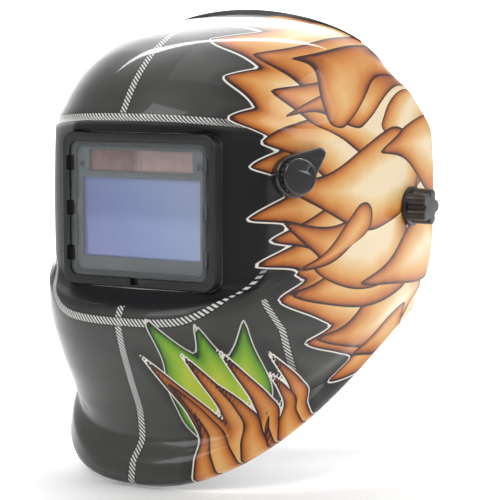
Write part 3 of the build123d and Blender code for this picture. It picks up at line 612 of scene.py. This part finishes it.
FLAME_LAYERS = [layer for layer in Layer if layer is not Layer.GLOW]


@dataclass(frozen=True)
class PaintedShell:
    """Gloss charcoal with printed stitched seams and airbrushed flames under a clear coat, with black paint
    and painted shade in the window recess and a painted shadow round the flames.
    """

    name: str = "shell_gloss"
    charcoal: Colour = (0.040, 0.040, 0.038)
    # near-black for the window recess: partly the design's black paint, partly painted shade
    black: Colour = (0.004, 0.004, 0.004)
    rim: Colour = (0.80, 0.77, 0.70)
    stitch_pitch: float = 2.9
    stitch_half: float = 2.6
    panel_seam: float = 119.0      # the panel seam's distance from the middle on the chin
    panel_turn: float = -85.0      # height above which it leans to the middle
    panel_lean: float = 0.5
    ridge_seam_turn: float = 40.0  # distance from the middle where the ridge seam starts to climb
    flame: Stops = (
        (0.0, (0.018, 0.007, 0.009)), (0.05, (0.06, 0.016, 0.010)), (0.09, (0.33, 0.085, 0.018)),
        (0.19, (0.56, 0.19, 0.035)), (0.36, (0.69, 0.32, 0.09)), (0.58, (0.75, 0.44, 0.17)),
        (0.80, (0.80, 0.57, 0.29)), (1.0, (0.85, 0.69, 0.46)),
    )
    green: Stops = (
        (0.0, (0.01, 0.02, 0.005)), (0.07, (0.03, 0.10, 0.01)), (0.2, (0.12, 0.30, 0.02)),
        (0.5, (0.25, 0.44, 0.03)), (1.0, (0.46, 0.56, 0.05)),
    )

    def _seam(self, g: Graph, colour: Shade, distance: Value, along: Value,
              keep: Value) -> bpy.types.NodeSocket:
        """Draws one whip-stitched seam over a colour.

        Args:
            g: the material being built.
            colour: what lies under it.
            distance: millimetres from the seam's line.
            along: millimetres along it.
            keep: mask of where the seam runs.

        Returns:
            The colour with the seam.
        """
        off = abs(distance)
        phase = ((along + distance * 0.9) / self.stitch_pitch).fraction()
        thread = abs(phase - 0.5).under(0.27, 0.12) * off.under(self.stitch_half, 0.5) * keep
        shade = off.under(self.stitch_half + 0.9, 0.9) * keep
        colour = g.mix(shade * 0.75, colour, (0.012, 0.012, 0.012))
        glint = g.noise(900.0, 2.0)
        return g.mix(thread, colour, g.mix(glint, (0.42, 0.41, 0.40), (0.90, 0.89, 0.87)))

    def build(self) -> bpy.types.Material:
        """Makes the material."""
        g = Graph(self.name)
        across, up = g.attribute("across"), g.attribute("up")
        brow, ridge = g.attribute("brow"), g.attribute("ridge")
        haze = g.noise(9.0, 4.0)
        colour = g.mix(haze, tuple(c * 0.55 for c in self.charcoal),
                       tuple(c * 1.9 for c in self.charcoal))
        away = abs(across)
        above, below = 1.0 - brow.under(0.0, 0.5), ridge.under(13.0, 0.5)
        # Window recess: near-black with a soft edge, partly the design's black paint and partly painted
        # shade inside the recess.
        recess = (1.0 - ridge.under(9.0, 6.0)) * brow.under(-6.0, 5.0) * away.under(97.0, 5.0)
        colour = g.mix(recess * 0.92, colour, self.black)
        colour = self._seam(g, colour, across, up, (above + below).clamped())
        rise = g.math("MAXIMUM", up - self.panel_turn, 0.0)
        colour = self._seam(g, colour, away - self.panel_seam + rise * self.panel_lean, up,
                            ridge.under(2.0, 0.5))
        colour = self._seam(g, colour, brow - 0.3 + away * away * 0.0004, across, away.under(104.0, 1.0))
        rise = g.math("MAXIMUM", away - self.ridge_seam_turn, 0.0)
        colour = self._seam(g, colour, ridge - 1.0 - rise * rise * 0.0075, across, away.under(100.0, 1.0))
        edge = g.attribute("edge")
        # Painted shadow: a soft dark halo just outside the flames, as if they cast shade on the charcoal.
        colour = g.mix(edge.under(7.0, 9.0) * 0.55, colour, (0.008, 0.008, 0.008))
        glow = g.attribute(Layer.GLOW.value)
        colour = g.mix(glow.under(0.9, 0.4), colour, (0.62, 0.62, 0.58))
        brush = g.noise(70.0, 5.0) - 0.5
        grain = g.noise(16.0, 4.0) - 0.5
        colour = g.mix(glow.under(0.0, 0.3), colour,
                       g.ramp(((0.0 - glow) / 15.0 + grain * 0.5).clamped(), self.green))
        colour = g.mix(edge.under(1.0, 0.4), colour, self.rim)
        for layer in FLAME_LAYERS:
            inside = 0.0 - g.attribute(layer.value)
            depth = inside / 24.0 + (brush * 0.2 + grain * 0.6) * (inside / 9.0).clamped()
            mask = (inside / 0.3 + 0.5).clamped()
            colour = g.mix(mask, colour, g.ramp(depth.clamped(), self.flame))
        flecks = g.noise(420.0, 2.0)
        return g.finish(
            Base_Color=colour,
            Roughness=haze * 0.08 + flecks * 0.05 + recess * 0.2 + 0.3,
            Specular_IOR_Level=0.25,
            Coat_Weight=0.6 - recess * 0.5,
            Coat_Roughness=0.035,
            Coat_IOR=1.35,
            Normal=g.bump(g.noise(26.0, 2.0), 0.0004, 0.12),
        )


# ---------------------------------------------------------------- mesh helpers
def add_object(name: str, mesh: bpy.types.Mesh, materials: Iterable[bpy.types.Material]) -> bpy.types.Object:
    """Puts a mesh in the scene with its materials.

    Args:
        name: the piece's name.
        mesh: its finished mesh.
        materials: its material slots in order.

    Returns:
        The new object.
    """
    piece = bpy.data.objects.new(name, mesh)
    bpy.context.scene.collection.objects.link(piece)
    mesh.materials.clear()
    for material in materials:
        mesh.materials.append(material)
    return piece


def settle(piece: bpy.types.Object) -> None:
    """Applies a piece's modifiers to its mesh."""
    depsgraph = bpy.context.evaluated_depsgraph_get()
    done = bpy.data.meshes.new_from_object(piece.evaluated_get(depsgraph))
    piece.modifiers.clear()
    piece.data = done


def smooth_by_angle(bm: bmesh.types.BMesh, angle: float) -> None:
    """Shades a mesh smooth, with its edges above an angle kept crisp."""
    for face in bm.faces:
        face.smooth = True
    for edge in bm.edges:
        edge.smooth = len(edge.link_faces) != 2 or edge.calc_face_angle(0.0) < angle


@dataclass
class MachinedCopy:
    """A hard piece taken from its CAD node, with its edges broken and its curves shaded smooth."""

    node: str
    bevel: float = 0.00025
    segments: int = 2
    crease: float = math.radians(28)

    def build(self, material: bpy.types.Material, body: str, slot: str) -> bpy.types.Object:
        """Makes the piece and lets it stand for its node.

        Args:
            material: its finish.
            body: the CAD body it rides on.
            slot: the record's material slot; not used.

        Returns:
            The finished piece.
        """
        bm = bmesh.new()
        bm.from_mesh(frame["nodes"][self.node].data)
        bmesh.ops.remove_doubles(bm, verts=bm.verts, dist=WELD)
        bmesh.ops.dissolve_limit(bm, angle_limit=math.radians(0.6), verts=bm.verts, edges=bm.edges)
        sharp = [e for e in bm.edges if len(e.link_faces) == 2 and e.calc_face_angle(0.0) > self.crease]
        if self.bevel and sharp:
            bmesh.ops.bevel(bm, geom=sharp, offset=self.bevel, offset_type="OFFSET", affect="EDGES",
                            segments=self.segments, profile=0.5, material=-1, clamp_overlap=True)
        bmesh.ops.dissolve_degenerate(bm, dist=1e-7, edges=bm.edges)
        smooth_by_angle(bm, math.radians(32))
        mesh = bpy.data.meshes.new(self.node)
        bm.to_mesh(mesh)
        bm.free()
        piece = add_object(f"{self.node}_finished", mesh, [material])
        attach(piece, body)
        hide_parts(self.node)
        log.info("%s: %d faces", piece.name, len(mesh.polygons))
        return piece


# ---------------------------------------------------------------- sub-assemblies
@dataclass
class Shell:
    """The moulded shell with its window opening, pivot holes and painted design."""

    form: ShellForm = field(default_factory=ShellForm)
    columns: int = 236
    rows: int = 178
    opening: tuple[float, float] = (0.1286, 0.1086)
    opening_round: float = 0.009
    pivot_hole: float = 0.0041
    brow_row: float = 14.0
    ridge_row: float = 7.0
    window_row: float = 11.0

    def _design_plane(self) -> tuple[np.ndarray, np.ndarray]:
        """Unrolls the skin.

        Returns:
            The skin's points, and for each of them the millimetres across, up, above the brow
            row and above the ridge row.
        """
        form = self.form
        fine_u, fine_a = np.linspace(0, form.top_row, 800), np.radians(np.linspace(-90, 90, 1441))
        middle = form.points(fine_u, np.zeros_like(fine_u))
        run = np.concatenate([[0], np.cumsum(np.linalg.norm(np.diff(middle, axis=0), axis=1))])
        u = np.interp(np.linspace(0, run[-1], self.rows + 1), run, fine_u)
        level = form.points(np.full_like(fine_a, self.window_row), fine_a)
        girth = np.concatenate([[0], np.cumsum(np.linalg.norm(np.diff(level, axis=0), axis=1))])
        a = np.interp(np.linspace(0, girth[-1], self.columns + 1), girth, fine_a)
        uu, aa = np.meshgrid(u, a, indexing="ij")
        skin = form.points(uu, aa)
        step = np.linalg.norm(np.diff(skin, axis=1), axis=2)
        across = np.concatenate([np.zeros((len(u), 1)), np.cumsum(step, axis=1)], axis=1)
        across -= across[:, [self.columns // 2]]
        rise = np.linalg.norm(np.diff(skin, axis=0), axis=2)
        up = np.concatenate([np.zeros((1, len(a))), np.cumsum(rise, axis=0)])

        def from_row(row: float) -> np.ndarray:
            """Millimetres above a row, along each column."""
            start = np.array([np.interp(row, u, up[:, j]) for j in range(len(a))])
            return (up - start) / MM

        fields = np.stack([
            across / MM, from_row(self.window_row), from_row(self.brow_row), from_row(self.ridge_row)])
        return skin, fields

    def _skin_mesh(self) -> bpy.types.Mesh:
        """Makes the outer skin, with the unrolled places kept in two UV maps."""
        skin, fields = self._design_plane()
        bm = bmesh.new()
        bmesh.ops.create_grid(bm, x_segments=self.columns, y_segments=self.rows, size=1.0)
        maps = [bm.loops.layers.uv.new("unrolled"), bm.loops.layers.uv.new("seams")]
        bm.verts.ensure_lookup_table()
        place = {
            v: (round((v.co.y + 1) / 2 * self.rows), round((v.co.x + 1) / 2 * self.columns))
            for v in bm.verts
        }
        for vert, (i, j) in place.items():
            vert.co = Vector(skin[i, j])
        for face in bm.faces:
            for loop in face.loops:
                i, j = place[loop.vert]
                for k, uv_map in enumerate(maps):
                    loop[uv_map].uv = (fields[2 * k, i, j], fields[2 * k + 1, i, j])
            face.smooth = True
        mesh = bpy.data.meshes.new("helmet_shell")
        bm.to_mesh(mesh)
        bm.free()
        return mesh

    def _cutter(self) -> bpy.types.Object:
        """Makes the tool that cuts the window opening and the two pivot holes."""
        bm = bmesh.new()
        width, height = self.opening
        made = bmesh.ops.create_cube(bm, size=1.0)["verts"]
        bmesh.ops.scale(bm, vec=(width, 0.09, height), verts=made)
        bmesh.ops.translate(bm, vec=(0, -self.form.reach, self.form.window_z), verts=made)
        corners = [e for e in bm.edges if abs((e.verts[0].co - e.verts[1].co).y) > 0.05]
        bmesh.ops.bevel(bm, geom=corners, offset=self.opening_round, offset_type="OFFSET",
                        affect="EDGES", segments=10, profile=0.5, material=-1)
        for side in (-1, 1):
            turn = Matrix.Translation((side * self.form.half_width, 0, 0)) @ Matrix.Rotation(
                math.pi / 2, 4, "Y")
            bmesh.ops.create_cone(bm, cap_ends=True, segments=48, radius1=self.pivot_hole,
                                  radius2=self.pivot_hole, depth=0.02, matrix=turn)
        mesh = bpy.data.meshes.new("shell_cutter")
        bm.to_mesh(mesh)
        bm.free()
        return add_object("shell_cutter", mesh, [])

    def _paint_fields(self, mesh: bpy.types.Mesh) -> None:
        """Stores what the painted design needs on the mesh's points."""
        owner = np.empty(len(mesh.loops), dtype=np.int32)
        mesh.loops.foreach_get("vertex_index", owner)
        values = {}
        for uv_name, names in (("unrolled", ("across", "up")), ("seams", ("brow", "ridge"))):
            pairs = np.empty(len(mesh.loops) * 2, dtype=np.float32)
            mesh.uv_layers[uv_name].uv.foreach_get("vector", pairs)
            pairs = pairs.reshape(-1, 2)
            for k, name in enumerate(names):
                values[name] = np.zeros(len(mesh.vertices))
                values[name][owner] = pairs[:, k]
        across, up = values["across"], values["up"]
        for layer, licks in LICKS.items():
            values[layer.value] = np.min([lick.distance(across, up) for lick in licks], axis=0)
        values["edge"] = np.min([values[layer.value] for layer in FLAME_LAYERS], axis=0)
        for name, numbers in values.items():
            store = mesh.attributes.new(name, "FLOAT", "POINT")
            store.data.foreach_set("value", numbers.astype(np.float32))

    def build(self, finishes: dict[str, bpy.types.Material]) -> bpy.types.Object:
        """Makes the shell and lets it stand for its CAD node.

        Args:
            finishes: materials by slot name.

        Returns:
            The finished shell.
        """
        piece = add_object("helmet_shell_finished", self._skin_mesh(),
                           [finishes["shell_gloss"], finishes["shell_inside"]])
        wall = piece.modifiers.new("wall", "SOLIDIFY")
        wall.thickness, wall.offset = self.form.wall, -1.0
        wall.use_even_offset = True
        wall.material_offset, wall.material_offset_rim = 1, 1
        cutter = self._cutter()
        cut = piece.modifiers.new("openings", "BOOLEAN")
        cut.operation, cut.object, cut.solver = "DIFFERENCE", cutter, "EXACT"
        settle(piece)
        bpy.data.objects.remove(cutter)
        piece.data.shade_smooth()
        piece.data.set_sharp_from_angle(angle=math.radians(35))
        self._paint_fields(piece.data)
        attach(piece, "shell")
        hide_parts("helmet_shell")
        log.info("shell: %d faces", len(piece.data.polygons))
        return piece


@dataclass
class Pad:
    """A soft pad: its CAD solid shrunk, inflated as cloth, then smoothed."""

    node: str
    voxel: float = 0.004
    shrink: float = 0.0012
    pressure: float = 4.0
    most: float = 0.0032
    steps: int = 20
    fill: float = 0.6

    def _inflate(self, piece: bpy.types.Object) -> None:
        """Swells the pad as cloth, with no point moved further than the cap."""
        start = np.array([v.co for v in piece.data.vertices])
        cloth = piece.modifiers.new("cloth", "CLOTH")
        cloth.settings.use_pressure = True
        cloth.settings.uniform_pressure_force = self.pressure
        cloth.settings.effector_weights.gravity = 0.0
        cloth.settings.quality = 5
        cloth.point_cache.frame_start, cloth.point_cache.frame_end = 1, self.steps
        scene = bpy.context.scene
        for step in range(1, self.steps + 1):
            scene.frame_set(step)
        settle(piece)
        scene.frame_set(1)
        now = np.array([v.co for v in piece.data.vertices])
        move = now - start
        length = np.linalg.norm(move, axis=1, keepdims=True)
        now = start + move * np.minimum(1.0, self.most / np.maximum(length, 1e-9))
        piece.data.vertices.foreach_set("co", now.ravel())

    def build(self, material: bpy.types.Material, body: str, slot: str) -> bpy.types.Object:
        """Makes the pad and lets it stand for its CAD solid.

        Args:
            material: its cover.
            body: the CAD body it rides on.
            slot: the record's material slot; not used.

        Returns:
            The finished pad.
        """
        bm = bmesh.new()
        bm.from_mesh(frame["nodes"][self.node].data)
        bmesh.ops.remove_doubles(bm, verts=bm.verts, dist=WELD)
        bm.normal_update()
        for vert in bm.verts:
            vert.co -= vert.normal * self.shrink
        mesh = bpy.data.meshes.new(self.node)
        bm.to_mesh(mesh)
        bm.free()
        piece = add_object(f"{self.node}_cushion", mesh, [material])
        remesh = piece.modifiers.new("remesh", "REMESH")
        remesh.mode, remesh.voxel_size = "VOXEL", self.voxel
        settle(piece)
        self._inflate(piece)
        soften = piece.modifiers.new("soften", "SMOOTH")
        soften.factor, soften.iterations = 0.5, 4
        finer = piece.modifiers.new("finer", "SUBSURF")
        finer.levels = finer.render_levels = 1
        settle(piece)
        piece.data.shade_smooth()
        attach(piece, body)
        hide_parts(self.node)
        log.info("%s: %d faces", piece.name, len(piece.data.polygons))
        return piece


# ---------------------------------------------------------------- studio
@dataclass
class Studio:
    """Plain pale floor, soft lights and the camera."""

    azimuth: float = math.radians(35)
    elevation: float = math.radians(4.5)
    distance: float = 1.35
    lens: float = 140.6
    window: tuple[float, float, float] = (0.0, -0.185, 0.003)
    aim_right: float = 0.0848
    aim_down: float = 0.0269
    ambient: float = 0.4
    floor_gap: float = 0.0005
    floor_half: float = 9.0
    floor_front: float = 6.0
    floor_behind: float = 3.0
    sweep_radius: float = 2.0
    wall_rise: float = 5.0

    def axes(self) -> tuple[Vector, Vector, Vector]:
        """Directions back to the viewer, right and up as the viewer sees them."""
        a, e = self.azimuth, self.elevation
        back = Vector((math.sin(a) * math.cos(e), -math.cos(a) * math.cos(e), math.sin(e)))
        right = Vector((math.cos(a), math.sin(a), 0))
        return back, right, right.cross(-back)

    def camera(self) -> None:
        """Places the camera in front of the window and aims it at the helmet's middle."""
        back, right, up = self.axes()
        window = Vector(self.window)
        eye = window + back * self.distance
        middle = window + right * self.aim_right - up * self.aim_down
        data = bpy.data.cameras.new("camera")
        data.lens, data.sensor_width = self.lens, 36.0
        data.clip_start, data.clip_end = 0.05, 50.0
        camera = bpy.data.objects.new("camera", data)
        bpy.context.scene.collection.objects.link(camera)
        camera.location = eye
        camera.rotation_euler = (middle - eye).to_track_quat("-Z", "Y").to_euler()
        bpy.context.scene.camera = camera

    def floor(self) -> None:
        """Lays a pale floor under the lowest point, which sweeps up far behind."""
        low = CAD_BOX[0].z - self.floor_gap
        back, right, _ = self.axes()
        away = Vector((-back.x, -back.y, 0)).normalized()
        bm = bmesh.new()
        start = away * -self.floor_front + Vector((0, 0, low))
        row = [bm.verts.new(start + right * side * self.floor_half) for side in (-1, 1)]
        edges = [bm.edges.new(row)]
        edges = self._pull(bm, edges, away * (self.floor_front + self.floor_behind))
        centre = away * self.floor_behind + Vector((0, 0, low + self.sweep_radius))
        turn = bmesh.ops.spin(bm, geom=edges, cent=centre, axis=right, dvec=(0, 0, 0),
                              angle=math.radians(90), steps=24, use_duplicate=False)
        edges = [part for part in turn["geom_last"] if isinstance(part, bmesh.types.BMEdge)]
        self._pull(bm, edges, Vector((0, 0, self.wall_rise)))
        bmesh.ops.recalc_face_normals(bm, faces=bm.faces)
        for face in bm.faces:
            face.smooth = True
        mesh = bpy.data.meshes.new("floor")
        bm.to_mesh(mesh)
        bm.free()
        g = Graph("floor_paper")
        tone = g.noise(3.0, 2.0)
        paper = g.finish(Base_Color=g.mix(tone, (0.88, 0.88, 0.88), (0.90, 0.90, 0.90)), Roughness=0.9)
        add_object("floor", mesh, [paper])

    @staticmethod
    def _pull(bm: bmesh.types.BMesh, edges: list, step: Vector) -> list:
        """Extrudes edges by a step and returns the new ones."""
        made = bmesh.ops.extrude_edge_only(bm, edges=edges)["geom"]
        verts = [part for part in made if isinstance(part, bmesh.types.BMVert)]
        bmesh.ops.translate(bm, vec=step, verts=verts)
        return [part for part in made if isinstance(part, bmesh.types.BMEdge)
                and all(v in verts for v in part.verts)]

    def light(self, name: str, place: Vector, size: float, power: float, target: Vector) -> None:
        """Hangs one soft area light.

        Args:
            name: its name.
            place: where it hangs.
            size: side of its square.
            power: watts.
            target: what it faces.
        """
        data = bpy.data.lights.new(name, "AREA")
        data.shape, data.size, data.energy = "SQUARE", size, power
        lamp = bpy.data.objects.new(name, data)
        bpy.context.scene.collection.objects.link(lamp)
        lamp.location = place
        lamp.rotation_euler = (target - place).to_track_quat("-Z", "Y").to_euler()

    def build(self) -> None:
        """Makes the whole set."""
        self.camera()
        self.floor()
        back, right, up = self.axes()
        middle = Vector((0, -0.07, 0))
        away = Vector((-back.x, -back.y, 0)).normalized()
        key = middle + back * 1.3 - right * 1.3 + up * 1.5
        side = middle + back * 0.6 + right * 1.7 + up * 0.8
        top = middle + Vector((0, 0.2, 1.9))
        rear = middle + away * 1.6 + up * 1.2
        backdrop = away * 1.8 + Vector((0, 0, 2.6))
        self.light("key", key, size=1.3, power=21.0, target=middle)
        self.light("side", side, size=1.2, power=15.0, target=middle)
        self.light("top", top, size=1.4, power=6.0, target=middle)
        self.light("rear", rear, size=1.5, power=8.0, target=middle)
        self.light("backdrop", backdrop, size=2.5, power=330.0, target=away * 4.6)
        world = bpy.data.worlds.new("studio")
        world.use_nodes = True
        background = world.node_tree.nodes["Background"]
        background.inputs["Color"].default_value = (1.0, 1.0, 1.0, 1.0)
        background.inputs["Strength"].default_value = self.ambient
        bpy.context.scene.world = world
        bpy.context.scene.view_settings.view_transform = "Standard"


# ---------------------------------------------------------------- whole helmet
def make_finishes() -> dict[str, bpy.types.Material]:
    """Makes every finish, by the record's slot name."""
    low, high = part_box("filter_glass")
    recipes = [
        PaintedShell(),
        Moulded("shell_inside", (0.02, 0.02, 0.021), 0.5, 0.00012, 700.0),
        Moulded("lip_plastic", (0.045, 0.045, 0.048), 0.42, 0.00004),
        Moulded("frame_plastic", (0.012, 0.012, 0.013), 0.42, 0.00005),
        ClearSheet("lens_clear"),
        Moulded("gasket_rubber", (0.012, 0.012, 0.012), 0.8, 0.0001, 900.0),
        Moulded("case_plastic", (0.13, 0.145, 0.15), 0.35, 0.00003),
        FilterCoating("filter_coating", high.x, low.z, high.z),
        SolarFilm("solar_film"),
        Board("board_green"),
        Moulded("sensor_black", (0.02, 0.014, 0.03), 0.12, 0.0, coat=1.0),
        Metal("battery_steel", (0.72, 0.72, 0.70), 0.28),
        Moulded("control_gloss", (0.012, 0.012, 0.014), 0.2, 0.00001, coat=0.8),
        Moulded("knob_black", (0.014, 0.014, 0.015), 0.32, 0.00003, coat=0.25),
        Metal("brass_insert", (0.80, 0.58, 0.26), 0.32),
        Metal("zinc_steel", (0.66, 0.66, 0.68), 0.3),
        Moulded("washer_nylon", (0.72, 0.70, 0.62), 0.5, 0.00003, cloud=0.08),
        Moulded("strap_plastic", (0.028, 0.028, 0.030), 0.5, 0.00008, 900.0),
        Moulded("bracket_plastic", (0.022, 0.022, 0.025), 0.45, 0.00008, 900.0),
        Weave("pad_fabric", (0.055, 0.058, 0.066)),
        Moulded("lead_jacket", (0.014, 0.014, 0.014), 0.5, 0.00004),
    ]
    return {recipe.name: recipe.build() for recipe in recipes}


SHARP_NODES = {
    "window_frame": 0.0006, "shade_housing": 0.0005, "shade_knob": 0.0003, "cover_lens": 0.0003,
    "filter_glass": 0.0002, "solar_cells": 0.0001, "circuit_board": 0.0001,
}
SOFT_NODES = {"brow_pad": 0.55, "nape_pad": 0.6}


def main() -> None:
    """Builds the helmet round its frame, piece by piece."""
    logging.basicConfig(level=logging.INFO, format="%(name)s: %(message)s")
    Studio().build()
    finishes = make_finishes()
    record = frame["record"]
    slot_of = {part["node"]: part["material_slot"] for part in record["subparts"]}
    body_of = {node: body for body, nodes in record["behaviour"]["bodies"].items() for node in nodes}
    Shell().build(finishes)
    for node, fill in SOFT_NODES.items():
        Pad(node, fill=fill).build(finishes[slot_of[node]], body_of[node], slot_of[node])
    for node in sorted(slot_of):
        if node != "helmet_shell" and node not in SOFT_NODES:
            MachinedCopy(node, bevel=SHARP_NODES.get(node, 0.0003)).build(
                finishes[slot_of[node]], body_of[node], slot_of[node])


if __name__ == "__main__":
    main()
